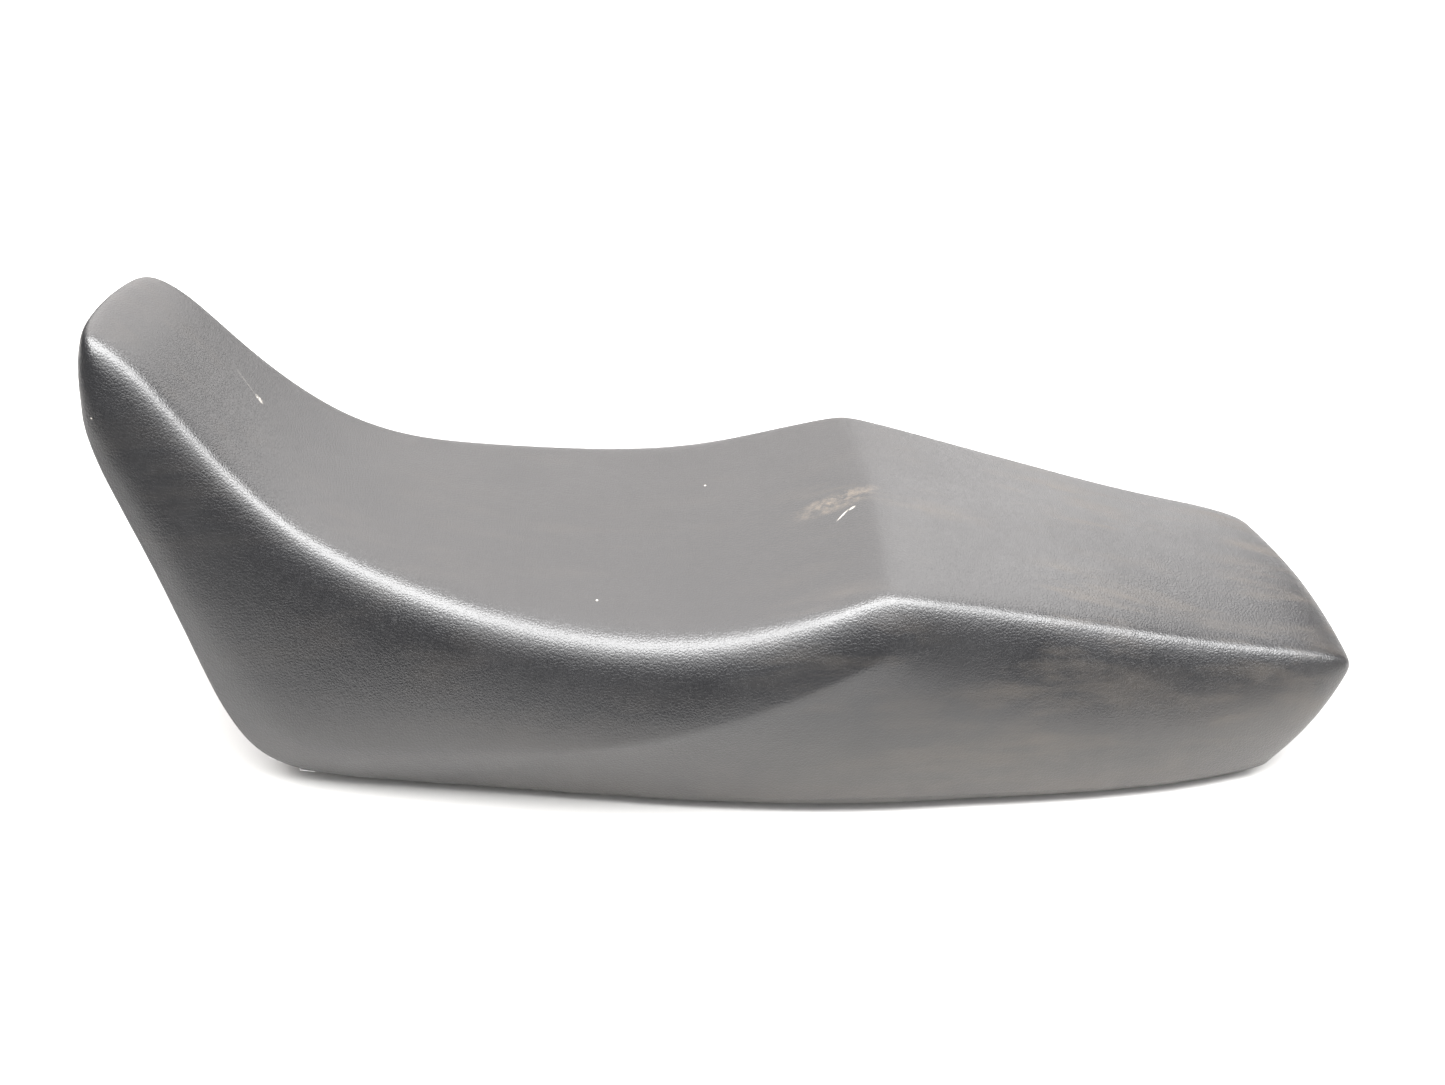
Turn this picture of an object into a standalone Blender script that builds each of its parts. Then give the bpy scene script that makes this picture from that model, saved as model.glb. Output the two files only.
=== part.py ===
"""A one-piece dual motorcycle seat: vinyl cover, foam, moulded pan and the hardware under it.

Metres, +Z up. The nose points to -X, the tail to +X, the rider's left is -Y. The origin is under
the middle of the seat, on the surface that its rubber bumpers stand on.
"""

import math
from collections import namedtuple

import bmesh
import bpy
import numpy as np
from mathutils import Vector

# Overall sizes
SEAT_LENGTH = 0.755
SEAT_WIDTH = 0.280
SEAT_HEIGHT = 0.285
HEM_HEIGHT = 0.009
MIDDLE_SHARE = 0.4985

# Skin, foam and pan
COVER_THICKNESS = 0.0013
LAP_WIDTH = 0.016
PAN_THICKNESS = 0.003
FLANGE_WIDTH = 0.040
FLANGE_SHARE = 0.36
NOSE_FLANGE = 0.010
TAIL_FLANGE = 0.022
FLOOR_HEIGHT = 0.058
FLOOR_WALL_RUN = 0.012
TAIL_FLOOR_DROP = 0.014
FOAM_EDGE = 0.002
NOSE_BOW = 0.005
TAIL_BOW = 0.009
STEP_BOW = 0.006

# Clearances
FIT_GAP = 0.0003
SKIN_GAP = 0.0005
LAP_GAP = 0.0008
RIM_GAP = 0.0012

# Rubber bumpers, pushed into the flange
BUMPER_RADIUS = 0.008
BUMPER_CHAMFER = 0.0015
BUMPER_STEM_RADIUS = 0.0035
BUMPER_HOLE_GAP = 0.0003
BUMPER_LAP_GAP = 0.0035
BUMPER_PLACES = {"front": -0.190, "middle": 0.030, "rear": 0.262}

# Screws, bosses and inserts
SCREW_RADIUS = 0.0024
SCREW_HEAD_RADIUS = 0.0048
SCREW_HEAD_HEIGHT = 0.0026
SCREW_HEAD_EDGE = 0.0014
SCREW_HEAD_FLAT = 0.0029
SCREW_TIP_RADIUS = 0.0017
SCREW_TIP_LENGTH = 0.0012
SCREW_LENGTH = 0.009
SCREW_HOLE_GAP = 0.0004
BOSS_DEPTH = 0.006
BOSS_MARGIN = 0.004
INSERT_RADIUS = 0.0040
INSERT_LENGTH = 0.0065

# Steel parts
PLATE_THICKNESS = 0.003
TONGUE_WIDTH = 0.042
TONGUE_BASE = 0.046
TONGUE_DROP = 0.020
TONGUE_REACH = 0.055
TONGUE_BEND_RUN = 0.006
TONGUE_PLACE = -0.115
HOOK_WIDTH = 0.030
HOOK_BASE = 0.036
HOOK_DROP = 0.016
HOOK_REACH = 0.024
HOOK_BEND_RUN = 0.004
HOOK_PLACE = 0.065
HOOK_OFFSET = 0.052
HOOK_WALL_GAP = 0.004
STRIKER_PLACE = 0.195
STRIKER_LENGTH = 0.046
STRIKER_WIDTH = 0.056
STRIKER_ROD_RADIUS = 0.004
STRIKER_SPAN = 0.032
STRIKER_DROP = 0.030
STRIKER_BEND_RADIUS = 0.009
STRIKER_BEND_STEPS = 4

# Tank pads, glued under the nose. Shares are of the seat's half width.
PAD_THICKNESS = 0.006
PAD_WIDTH_SHARE = 9 / 70
PAD_OFFSET_SHARE = 8 / 70
PAD_TOP = 0.195
PAD_BOTTOM = 0.118
PAD_GLUE_GAP = 0.0005

CUT_MARGIN = 0.001
ROUND_STEPS = 16
SMALL_ROUND_STEPS = 12
SURFACE_LEVEL = 1

PARTS = "motorcycle_seat"
CUTTERS = "motorcycle_seat_cutters"

# One slice of the skin from the shoulder down to the hem. Points are (along, across, up) as shares
# of the length, the half width and the height over the hem; the origin is under MIDDLE_SHARE of the
# length. fold is where on the wall the side breaks, bulge how far the wall stands out there,
# rounding the size of the shoulder's round, crown the rise of the middle, and sharp the hardness of
# the fold from this slice to the next.
Slice = namedtuple("Slice", "name shoulder hem fold bulge rounding crown sharp")
SLICES = (
    Slice("nose_tip", (0.015, 0.385, 1.011), (0.003, 0.398, 0.868), 0.50, 0.003, 0.024, 0.004, 0.0),
    Slice("nose_high", (0.044, 0.419, 0.957), (0.006, 0.446, 0.762), 0.58, 0.005, 0.022, 0.003, 0.0),
    Slice("nose_1", (0.072, 0.453, 0.841), (0.026, 0.498, 0.601), 0.62, 0.005, 0.022, 0.004, 0.0),
    Slice("nose_2", (0.106, 0.517, 0.716), (0.046, 0.559, 0.438), 0.64, 0.006, 0.024, 0.004, 0.0),
    Slice("nose_3", (0.150, 0.591, 0.600), (0.061, 0.606, 0.286), 0.66, 0.007, 0.027, 0.004, 0.0),
    Slice("nose_foot", (0.202, 0.666, 0.527), (0.077, 0.646, 0.129), 0.68, 0.008, 0.030, 0.004, 0.0),
    Slice("heel", (0.254, 0.757, 0.487), (0.108, 0.678, 0.010), 0.70, 0.009, 0.033, 0.005, 0.0),
    Slice("thigh_front", (0.314, 0.860, 0.450), (0.202, 0.735, 0.000), 0.66, 0.010, 0.036, 0.005, 0.3),
    Slice("thigh", (0.387, 0.928, 0.421), (0.314, 0.814, 0.000), 0.60, 0.012, 0.038, 0.005, 0.9),
    Slice("dip", (0.466, 0.953, 0.423), (0.427, 0.900, 0.000), 0.45, 0.011, 0.038, 0.005, 0.9),
    Slice("step_rise", (0.540, 0.931, 0.471), (0.526, 0.943, 0.000), 0.32, 0.009, 0.028, 0.005, 0.8),
    Slice("step_front", (0.582, 0.890, 0.502), (0.576, 0.950, 0.000), 0.25, 0.008, 0.019, 0.006, 0.6),
    Slice("step", (0.598, 0.871, 0.510), (0.598, 0.950, 0.000), 0.22, 0.008, 0.017, 0.006, 0.3),
    Slice("step_back", (0.616, 0.861, 0.502), (0.625, 0.946, 0.000), 0.30, 0.007, 0.017, 0.006, 0.0),
    Slice("pillion_1", (0.678, 0.816, 0.461), (0.698, 0.928, 0.000), 0.42, 0.007, 0.018, 0.006, 0.0),
    Slice("pillion_2", (0.771, 0.759, 0.393), (0.785, 0.907, 0.000), 0.46, 0.007, 0.017, 0.006, 0.0),
    Slice("pillion_3", (0.870, 0.702, 0.320), (0.864, 0.850, 0.000), 0.50, 0.006, 0.016, 0.006, 0.0),
    Slice("pillion_4", (0.952, 0.670, 0.280), (0.905, 0.794, 0.000), 0.52, 0.005, 0.015, 0.005, 0.0),
    Slice("tail_end", (0.996, 0.631, 0.240), (0.933, 0.761, 0.006), 0.50, 0.004, 0.013, 0.004, 0.0),
)
# The pan's middle line at the slices from nose_tip to heel, as shares of length and height. The
# first lies in the flange, so the pan never reads it.
PAN_NOSE_LINE = (
    (0.000, 0.000),
    (0.023, 0.734),
    (0.043, 0.656),
    (0.069, 0.558),
    (0.101, 0.431),
    (0.134, 0.312),
    (0.170, 0.223),
)
STEP_SLICES = range(10, 14)
STEP_RIDGE = 12
STEP_SHARPNESS = 0.45
LAST = len(SLICES) - 1
RAILS = 2
ROWS = 4
COLUMNS = 2 * RAILS + LAST
LOWER_ROW_BULGE = 0.62
ROUND_BEFORE_FOLD = 0.6


def clear_scene():
    for obj in list(bpy.data.objects):
        bpy.data.objects.remove(obj)


def new_collection(name):
    group = bpy.data.collections.new(name)
    bpy.context.scene.collection.children.link(group)
    return group


def new_material(name, colour, roughness, metallic=0.0):
    material = bpy.data.materials.new(name)
    material.use_nodes = True
    shader = material.node_tree.nodes["Principled BSDF"]
    shader.inputs["Base Color"].default_value = (*colour, 1.0)
    shader.inputs["Roughness"].default_value = roughness
    shader.inputs["Metallic"].default_value = metallic
    return material


def add_object(name, data, material, group=PARTS):
    obj = bpy.data.objects.new(name, data)
    if material:
        data.materials.append(material)
    bpy.data.collections[group].objects.link(obj)
    return obj


def evaluated_mesh(obj):
    bpy.context.view_layer.update()
    return bpy.data.meshes.new_from_object(obj.evaluated_get(bpy.context.evaluated_depsgraph_get()))


def share_point(shares):
    """A point from its shares of the seat's length, half width and height over the hem."""
    along, across, up = shares
    return Vector(
        (
            (along - MIDDLE_SHARE) * SEAT_LENGTH,
            -across * SEAT_WIDTH / 2,
            HEM_HEIGHT + up * (SEAT_HEIGHT - HEM_HEIGHT),
        )
    )


# ---- The columns that run down the left half's wall, from the nose's middle round to the tail's


Column = namedtuple("Column", "shoulder hem outward up slice")


def hem_line():
    return [share_point(s.hem) for s in SLICES]


def hem_up(index):
    """The direction into the seat, square to the hem's line, at one slice."""
    line = hem_line()
    ahead = line[min(index + 1, LAST)]
    behind = line[max(index - 1, 0)]
    run = (ahead - behind).normalized()
    return Vector((-run.z, 0.0, run.x)).normalized()


def cross_bow(index):
    if index == 0:
        return -NOSE_BOW
    if index in STEP_SLICES:
        return STEP_BOW
    if index >= LAST - 2:
        return TAIL_BOW * (index - LAST + 3) / 3
    return 0.0


def top_point(index, rail):
    """A point of the seat's top: rail 0 is the middle line, and the last rail is the shoulder."""
    piece = SLICES[index]
    corner = share_point(piece.shoulder)
    if rail == RAILS:
        return corner
    across = 0.0 if rail == 0 else 1.0 - piece.rounding / -corner.y
    middle = 1.0 - across**2
    return Vector(
        (
            corner.x + cross_bow(index) * middle,
            corner.y * across,
            corner.z + piece.crown * middle,
        )
    )


def end_column(index, rail, bow, outward):
    """A column of the nose's or the tail's end face, in line with a rail of the top."""
    piece = SLICES[index]
    shoulder = top_point(index, rail)
    corner = share_point(piece.hem)
    across = shoulder.y / share_point(piece.shoulder).y
    middle = 1.0 - across**2
    hem = Vector((corner.x + bow * middle, corner.y * across, corner.z))
    return Column(shoulder, hem, outward, hem_up(index), piece)


def make_columns():
    forward = Vector((-1.0, 0.0, 0.0))
    left = Vector((0.0, -1.0, 0.0))
    columns = [end_column(0, rail, -NOSE_BOW, forward) for rail in range(RAILS)]
    for index, piece in enumerate(SLICES):
        outward = left
        if index == 0:
            outward = (left + forward).normalized()
        if index == LAST:
            outward = (left - forward).normalized()
        shoulder = share_point(piece.shoulder)
        columns.append(Column(shoulder, share_point(piece.hem), outward, hem_up(index), piece))
    columns += [end_column(LAST, rail, TAIL_BOW, -forward) for rail in reversed(range(RAILS))]
    return columns


def rim_inward(number):
    """The way from the rim towards the middle of the opening, at one column."""
    left = Vector((0.0, 1.0, 0.0))
    if RAILS < number < RAILS + LAST:
        return left
    at_nose = number <= RAILS
    line = hem_line()
    ahead = (line[1] - line[0]) if at_nose else (line[LAST - 1] - line[LAST])
    ahead.y = 0.0
    ahead.normalize()
    if number in (RAILS, RAILS + LAST):
        return ahead + left
    return ahead


def rim_step(column, number, distance, side_distance=None):
    """The point a distance in from the hem, with the end faces' points kept in proportion."""
    side = distance if side_distance is None else side_distance
    inward = rim_inward(number)
    corner = SLICES[0] if number <= RAILS else SLICES[LAST]
    if RAILS <= number <= RAILS + LAST:
        return column.hem + Vector((inward.x * distance, side, inward.z * distance))
    corner_y = share_point(corner.hem).y
    point = column.hem + inward * distance
    point.y *= (corner_y + side) / corner_y
    return point


# ---- Sheets: half cages with the same faces, mirrored and subdivided


def top_key(index, rail):
    if rail == RAILS:
        return (RAILS + index, 0)
    if index == 0:
        return (rail, 0)
    if index == LAST:
        return (COLUMNS - rail, 0)
    return ("top", index, rail)


def cage_object(name, top, skirt, rows, sharp_edges, material, group=PARTS):
    """Half a sheet: top(index, rail) and skirt(column, row) give its points."""
    points = {(c, r): skirt(c, r) for c in range(COLUMNS + 1) for r in range(rows + 1)}
    for index in range(1, LAST):
        for rail in range(RAILS):
            points[top_key(index, rail)] = top(index, rail)
    mesh_data = bmesh.new()
    made = {key: mesh_data.verts.new(place) for key, place in points.items()}
    for column in range(COLUMNS):
        for row in range(rows):
            corners = ((column, row), (column, row + 1), (column + 1, row + 1), (column + 1, row))
            mesh_data.faces.new([made[key] for key in corners])
    for index in range(LAST):
        for rail in range(RAILS):
            corners = ((index, rail), (index, rail + 1), (index + 1, rail + 1), (index + 1, rail))
            mesh_data.faces.new([made[top_key(*corner)] for corner in corners])
    hardness = mesh_data.edges.layers.float.new("crease_edge")
    for first, second, weight in sharp_edges:
        edge = mesh_data.edges.get((made[first], made[second]))
        edge[hardness] = weight
    mesh = bpy.data.meshes.new(name)
    mesh_data.to_mesh(mesh)
    mesh_data.free()
    mesh.shade_smooth()
    obj = add_object(name, mesh, material, group)
    mirror = obj.modifiers.new("right_half", "MIRROR")
    mirror.use_axis = (False, True, False)
    mirror.use_clip = True
    mirror.merge_threshold = 0.00001
    smooth = obj.modifiers.new("smooth_form", "SUBSURF")
    smooth.levels = SURFACE_LEVEL
    smooth.render_levels = SURFACE_LEVEL
    return obj


def wall_shares(piece, length):
    """How far down the wall each row lies, and how much of the bulge it takes."""
    first = min(piece.rounding / length, ROUND_BEFORE_FOLD * piece.fold)
    return (
        (0.0, 0.0),
        (first, first / piece.fold),
        (piece.fold, 1.0),
        ((piece.fold + 1.0) / 2, LOWER_ROW_BULGE),
        (1.0, 0.0),
    )


def wall_point(column, row, hem_raise=0.0):
    """A point on one column of the wall, whose lowest row may stop short of the hem."""
    length = (column.hem - column.shoulder).length
    share, bulge = wall_shares(column.slice, length)[row]
    if row == ROWS:
        last_share, last_bulge = wall_shares(column.slice, length)[ROWS - 1]
        cut = hem_raise / length / (1.0 - last_share)
        share = 1.0 - cut * (1.0 - last_share)
        bulge = cut * last_bulge
    place = column.shoulder.lerp(column.hem, share)
    return place + column.outward * column.slice.bulge * bulge


def fold_edges():
    """The side's fold and the step's ridge, as edges of the cage with their hardness."""
    edges = []
    for index, piece in enumerate(SLICES[:-1]):
        if piece.sharp:
            edges.append(((RAILS + index, 2), (RAILS + index + 1, 2), piece.sharp))
    for rail in range(RAILS):
        edges.append((top_key(STEP_RIDGE, rail), top_key(STEP_RIDGE, rail + 1), STEP_SHARPNESS))
    return edges


def rim_edges(row):
    return [((c, row), (c + 1, row), 1.0) for c in range(COLUMNS)]


def make_cover(columns, vinyl):
    """The outer sheet, with its lap folded under the pan's rim."""

    def skirt(number, row):
        if row <= ROWS:
            return wall_point(columns[number], row)
        return rim_step(columns[number], number, LAP_WIDTH)

    sharp = fold_edges() + rim_edges(ROWS)
    cover = cage_object("seat_cover", top_point, skirt, ROWS + 1, sharp, vinyl)
    wall = cover.modifiers.new("vinyl", "SOLIDIFY")
    wall.thickness = COVER_THICKNESS
    wall.offset = -1.0
    wall.use_even_offset = True
    wall.use_quality_normals = True
    return cover


def flange_lift():
    """From the hem's outer face up to the top of the pan's flange."""
    return COVER_THICKNESS + LAP_GAP + PAN_THICKNESS


def flange_width(half_width):
    return min(FLANGE_WIDTH, FLANGE_SHARE * half_width)


def floor_place(index):
    """The pan's floor on the middle line, above one slice's hem."""
    hem = share_point(SLICES[index].hem)
    if index < len(PAN_NOSE_LINE):
        along, up = PAN_NOSE_LINE[index]
        return share_point((along, 0.0, up))
    drop = 0.0
    back = 0.0
    if index == LAST - 1:
        drop = TAIL_FLOOR_DROP
    if index >= LAST - 2:
        back = TAIL_FLANGE
    return Vector((hem.x - back, 0.0, FLOOR_HEIGHT - drop))


def make_pan_sheet(columns, plastic, group=PARTS):
    """The pan's upper face: a flange round the rim and a floor raised inside it."""
    lift = flange_lift()
    inset = COVER_THICKNESS + RIM_GAP

    def foot_distances(number):
        half = -share_point(columns[number].slice.hem).y
        end = NOSE_FLANGE if number <= RAILS else TAIL_FLANGE
        return end, flange_width(half)

    def skirt(number, row):
        column = columns[number]
        end, side = foot_distances(number)
        rim = rim_step(column, number, inset)
        foot = rim_step(column, number, end, side)
        return foot.lerp(rim, row / ROWS) + column.up * lift

    def top(index, rail):
        place = floor_place(index)
        if rail:
            half = -share_point(SLICES[index].hem).y
            place.y = -(half - flange_width(half) - FLOOR_WALL_RUN)
        return place

    foot_edges = rim_edges(0)
    floor_edges = [(top_key(i, 1), top_key(i + 1, 1), 1.0) for i in range(1, LAST - 1)]
    return cage_object("seat_pan", top, skirt, ROWS, foot_edges + floor_edges, plastic, group)


# ---- Foam: the skin's inner side joined to the pan's upper side


def sheet_arrays(obj):
    mesh = evaluated_mesh(obj)
    points = np.array([vertex.co[:] for vertex in mesh.vertices])
    faces = [tuple(face.vertices) for face in mesh.polygons]
    bpy.data.meshes.remove(mesh)
    return points, faces


def moved_along_normals(points, faces, distance):
    """The sheet moved by a distance square to its faces, with corners moved further."""
    corners = np.array(faces)
    one, two, three, four = (points[corners[:, corner]] for corner in range(4))
    across = np.cross(three - one, four - two)
    face_normals = across / np.linalg.norm(across, axis=1)[:, None]
    normals = np.zeros_like(points)
    for corner in range(4):
        np.add.at(normals, corners[:, corner], face_normals)
    normals /= np.linalg.norm(normals, axis=1)[:, None]
    agreement = np.zeros(len(points))
    count = np.zeros(len(points))
    for corner in range(4):
        index = corners[:, corner]
        np.add.at(agreement, index, np.einsum("ij,ij->i", normals[index], face_normals))
        np.add.at(count, index, 1.0)
    stretch = np.clip(agreement / count, 0.5, 1.0)
    return points + normals * (distance / stretch)[:, None]


def boundary_edges(faces):
    """The sheet's open edges, each in the direction that its own face runs."""
    used = {}
    for face in faces:
        for first, second in zip(face, face[1:] + face[:1]):
            used[(first, second)] = True
    return [edge for edge in used if (edge[1], edge[0]) not in used]


def make_foam(columns, pan_sheet, foam_material):
    hem_raise = flange_lift() + SKIN_GAP + FOAM_EDGE

    def skirt(number, row):
        return wall_point(columns[number], row, hem_raise)

    guide = cage_object("foam_skin_guide", top_point, skirt, ROWS, fold_edges(), None, CUTTERS)
    skin, faces = sheet_arrays(guide)
    floor, floor_faces = sheet_arrays(pan_sheet)
    bpy.data.objects.remove(guide)
    outer = moved_along_normals(skin, faces, -(COVER_THICKNESS + SKIN_GAP))
    under = moved_along_normals(floor, floor_faces, FIT_GAP)
    count = len(outer)
    closed = list(faces)
    for first, second, third, fourth in (np.array(floor_faces) + count).tolist():
        closed.append((third, second, first))
        closed.append((fourth, third, first))
    for first, second in boundary_edges(faces):
        closed.append((second, first, first + count, second + count))
    mesh = bpy.data.meshes.new("foam_cushion")
    mesh.from_pydata(np.vstack((outer, under)).tolist(), [], closed)
    mesh.validate()
    mesh.shade_smooth()
    return add_object("foam_cushion", mesh, foam_material)


# ---- Small shapes


def turned(name, profile, material, place, steps=SMALL_ROUND_STEPS, group=PARTS, closed=False):
    """A turned solid: the profile is (radius, height) from the top down its outer side."""
    edges = [(number, number + 1) for number in range(len(profile) - 1)]
    if closed:
        edges.append((len(profile) - 1, 0))
    mesh = bpy.data.meshes.new(name)
    mesh.from_pydata([(radius, 0.0, height) for radius, height in profile], edges, [])
    obj = add_object(name, mesh, material, group)
    obj.location = place
    spin = obj.modifiers.new("turned", "SCREW")
    spin.steps = steps
    spin.render_steps = steps
    spin.use_merge_vertices = True
    spin.merge_threshold = 0.00001
    return obj


def as_cutter(obj):
    obj.hide_render = True
    obj.display_type = "WIRE"
    return obj


def cut_or_join(obj, tool, operation):
    boolean = obj.modifiers.new(operation.lower(), "BOOLEAN")
    boolean.operation = operation
    boolean.object = as_cutter(tool)
    boolean.solver = "EXACT"


def box(name, low, high, group=CUTTERS):
    mesh_data = bmesh.new()
    bmesh.ops.create_cube(mesh_data, size=1.0)
    size = Vector(high) - Vector(low)
    bmesh.ops.scale(mesh_data, vec=size, verts=mesh_data.verts)
    mesh = bpy.data.meshes.new(name)
    mesh_data.to_mesh(mesh)
    mesh_data.free()
    obj = add_object(name, mesh, None, group)
    obj.location = (Vector(low) + Vector(high)) / 2
    return obj


def round_cutter(name, radius, place, low, high):
    """An upright round cutter between two heights."""
    profile = ((0.0, high), (radius, high), (radius, low), (0.0, low))
    return turned(name, profile, None, (place[0], place[1], 0.0), ROUND_STEPS, CUTTERS)


def strip_outline(line, thickness):
    """The closed outline of a bent strip, from its upper face's line and its thickness."""
    lower = []
    for number, point in enumerate(line):
        before = line[max(number - 1, 0)]
        after = line[min(number + 1, len(line) - 1)]
        first = (point - before).normalized() if number else (after - point).normalized()
        last = (after - point).normalized() if number < len(line) - 1 else first
        sides = [Vector((way.y, -way.x)) for way in (first, last)]
        middle = (sides[0] + sides[1]).normalized()
        lower.append(point + middle * thickness / middle.dot(sides[0]))
    return list(line) + lower[::-1]


def bent_plate(name, line, width, centre, material):
    """A strip of plate whose side view is a bent line in X and Z, made a mesh."""
    curve = bpy.data.curves.new(name, "CURVE")
    curve.dimensions = "2D"
    curve.fill_mode = "BOTH"
    curve.extrude = width / 2
    spline = curve.splines.new("POLY")
    outline = strip_outline(line, PLATE_THICKNESS)
    spline.points.add(len(outline) - 1)
    for point, place in zip(spline.points, outline):
        point.co = (place.x, place.y, 0.0, 1.0)
    spline.use_cyclic_u = True
    drawn = add_object(name + "_outline", curve, None, CUTTERS)
    drawn.rotation_euler = (math.pi / 2, 0.0, 0.0)
    drawn.location = centre
    mesh = evaluated_mesh(drawn)
    merged = bmesh.new()
    merged.from_mesh(mesh)
    bmesh.ops.remove_doubles(merged, verts=merged.verts, dist=0.00001)
    merged.to_mesh(mesh)
    merged.free()
    mesh.name = name
    obj = add_object(name, mesh, material)
    obj.matrix_world = drawn.matrix_world
    bpy.data.objects.remove(drawn)
    return obj


# ---- The pan and what is fixed to it


def floor_underside():
    return FLOOR_HEIGHT - PAN_THICKNESS


def boss_face():
    """The height of the bosses' lower faces, which the steel parts are screwed against."""
    return floor_underside() - BOSS_DEPTH


def plate_top():
    return boss_face() - FIT_GAP


def plate_bottom():
    return plate_top() - PLATE_THICKNESS


def add_boss(pan, name, centre, length, width):
    half = Vector((length / 2 + BOSS_MARGIN, width / 2 + BOSS_MARGIN))
    top = floor_underside() + PAN_THICKNESS / 2
    low = (centre[0] - half.x, centre[1] - half.y, boss_face())
    high = (centre[0] + half.x, centre[1] + half.y, top)
    cut_or_join(pan, box(name + "_boss", low, high), "UNION")


def hem_half_width(along):
    line = hem_line()
    return float(np.interp(along, [p.x for p in line], [-p.y for p in line]))


def hook_offset():
    """How far the side hooks stand from the middle: closer in where the pan's floor is narrow."""
    half = hem_half_width(HOOK_PLACE)
    floor_half = half - flange_width(half) - FLOOR_WALL_RUN
    return min(HOOK_OFFSET, floor_half - HOOK_WALL_GAP - BOSS_MARGIN - HOOK_WIDTH / 2)


def screw_sites():
    """Every screw: name, place, the plate that it holds, and whether it has a brass insert."""
    sites = []
    tongue_pitch = TONGUE_WIDTH / 2
    for side, sign in (("left", -1), ("right", 1)):
        sites.append((f"tongue_screw_{side}", (TONGUE_PLACE, sign * tongue_pitch / 2), "front_tongue", False))
        for end, along in (("front", -1), ("rear", 1)):
            x = HOOK_PLACE + along * HOOK_BASE / 4
            sites.append((f"hook_screw_{side}_{end}", (x, sign * hook_offset()), f"side_hook_{side}", False))
    for side, sign in (("left", -1), ("right", 1)):
        for end, along in (("front", -1), ("rear", 1)):
            x = STRIKER_PLACE + along * (STRIKER_LENGTH / 2 - 2 * BOSS_MARGIN)
            y = sign * (STRIKER_WIDTH / 2 - 2 * BOSS_MARGIN)
            sites.append((f"striker_screw_{side}_{end}", (x, y), "striker_plate", True))
    return sites


def make_screw(name, place, steel):
    """A pan-head screw that points up into its boss."""
    seat = plate_bottom() - FIT_GAP
    tip = seat + SCREW_LENGTH
    edge = SCREW_HEAD_RADIUS
    profile = (
        (0.0, tip),
        (SCREW_TIP_RADIUS, tip),
        (SCREW_RADIUS, tip - SCREW_TIP_LENGTH),
        (SCREW_RADIUS, seat),
        (edge, seat),
        (edge, seat - SCREW_HEAD_EDGE),
        (SCREW_HEAD_FLAT, seat - SCREW_HEAD_HEIGHT),
        (0.0, seat - SCREW_HEAD_HEIGHT),
    )
    return turned(name, profile, steel, (place[0], place[1], 0.0))


def make_insert(name, place, brass):
    """A threaded brass sleeve, flush with the boss's lower face."""
    low = boss_face()
    high = low + INSERT_LENGTH
    bore = SCREW_RADIUS + SCREW_HOLE_GAP
    profile = ((bore, high), (INSERT_RADIUS, high), (INSERT_RADIUS, low), (bore, low))
    return turned(name, profile, brass, (place[0], place[1], 0.0), closed=True)


def drill_screw(pan, plate, site):
    name, place, _, has_insert = site
    hole = SCREW_RADIUS + SCREW_HOLE_GAP
    blind = plate_bottom() + SCREW_LENGTH + FIT_GAP
    low = plate_bottom() - CUT_MARGIN
    high = plate_top() + CUT_MARGIN
    cut_or_join(plate, round_cutter(name + "_plate_hole", hole, place, low, high), "DIFFERENCE")
    if has_insert:
        hole = INSERT_RADIUS + FIT_GAP
        blind = boss_face() + INSERT_LENGTH + FIT_GAP
    mouth = boss_face() - CUT_MARGIN
    cut_or_join(pan, round_cutter(name + "_hole", hole, place, mouth, blind), "DIFFERENCE")


def make_tongue(steel):
    """The front tongue: flat base, a bend down, and a flat blade that reaches forward."""
    half = TONGUE_BASE / 2
    bend = TONGUE_BEND_RUN
    line = [
        Vector((half, 0.0)),
        Vector((-half, 0.0)),
        Vector((-half - bend, -TONGUE_DROP)),
        Vector((-half - bend - TONGUE_REACH, -TONGUE_DROP)),
    ]
    return bent_plate("front_tongue", line[::-1], TONGUE_WIDTH, (TONGUE_PLACE, 0.0, plate_top()), steel)


def make_side_hook(side, sign, steel):
    """A side hook: base, drop and a foot that points to the rear, under the frame's rail."""
    half = HOOK_BASE / 2
    bend = HOOK_BEND_RUN
    line = [
        Vector((-half, 0.0)),
        Vector((half, 0.0)),
        Vector((half + bend, -HOOK_DROP)),
        Vector((half + bend + HOOK_REACH, -HOOK_DROP)),
    ]
    centre = (HOOK_PLACE, sign * hook_offset(), plate_top())
    return bent_plate(f"side_hook_{side}", line, HOOK_WIDTH, centre, steel)


def make_striker_plate(steel):
    half = STRIKER_LENGTH / 2
    line = [Vector((-half, 0.0)), Vector((half, 0.0))]
    return bent_plate("striker_plate", line, STRIKER_WIDTH, (STRIKER_PLACE, 0.0, plate_top()), steel)


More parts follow.
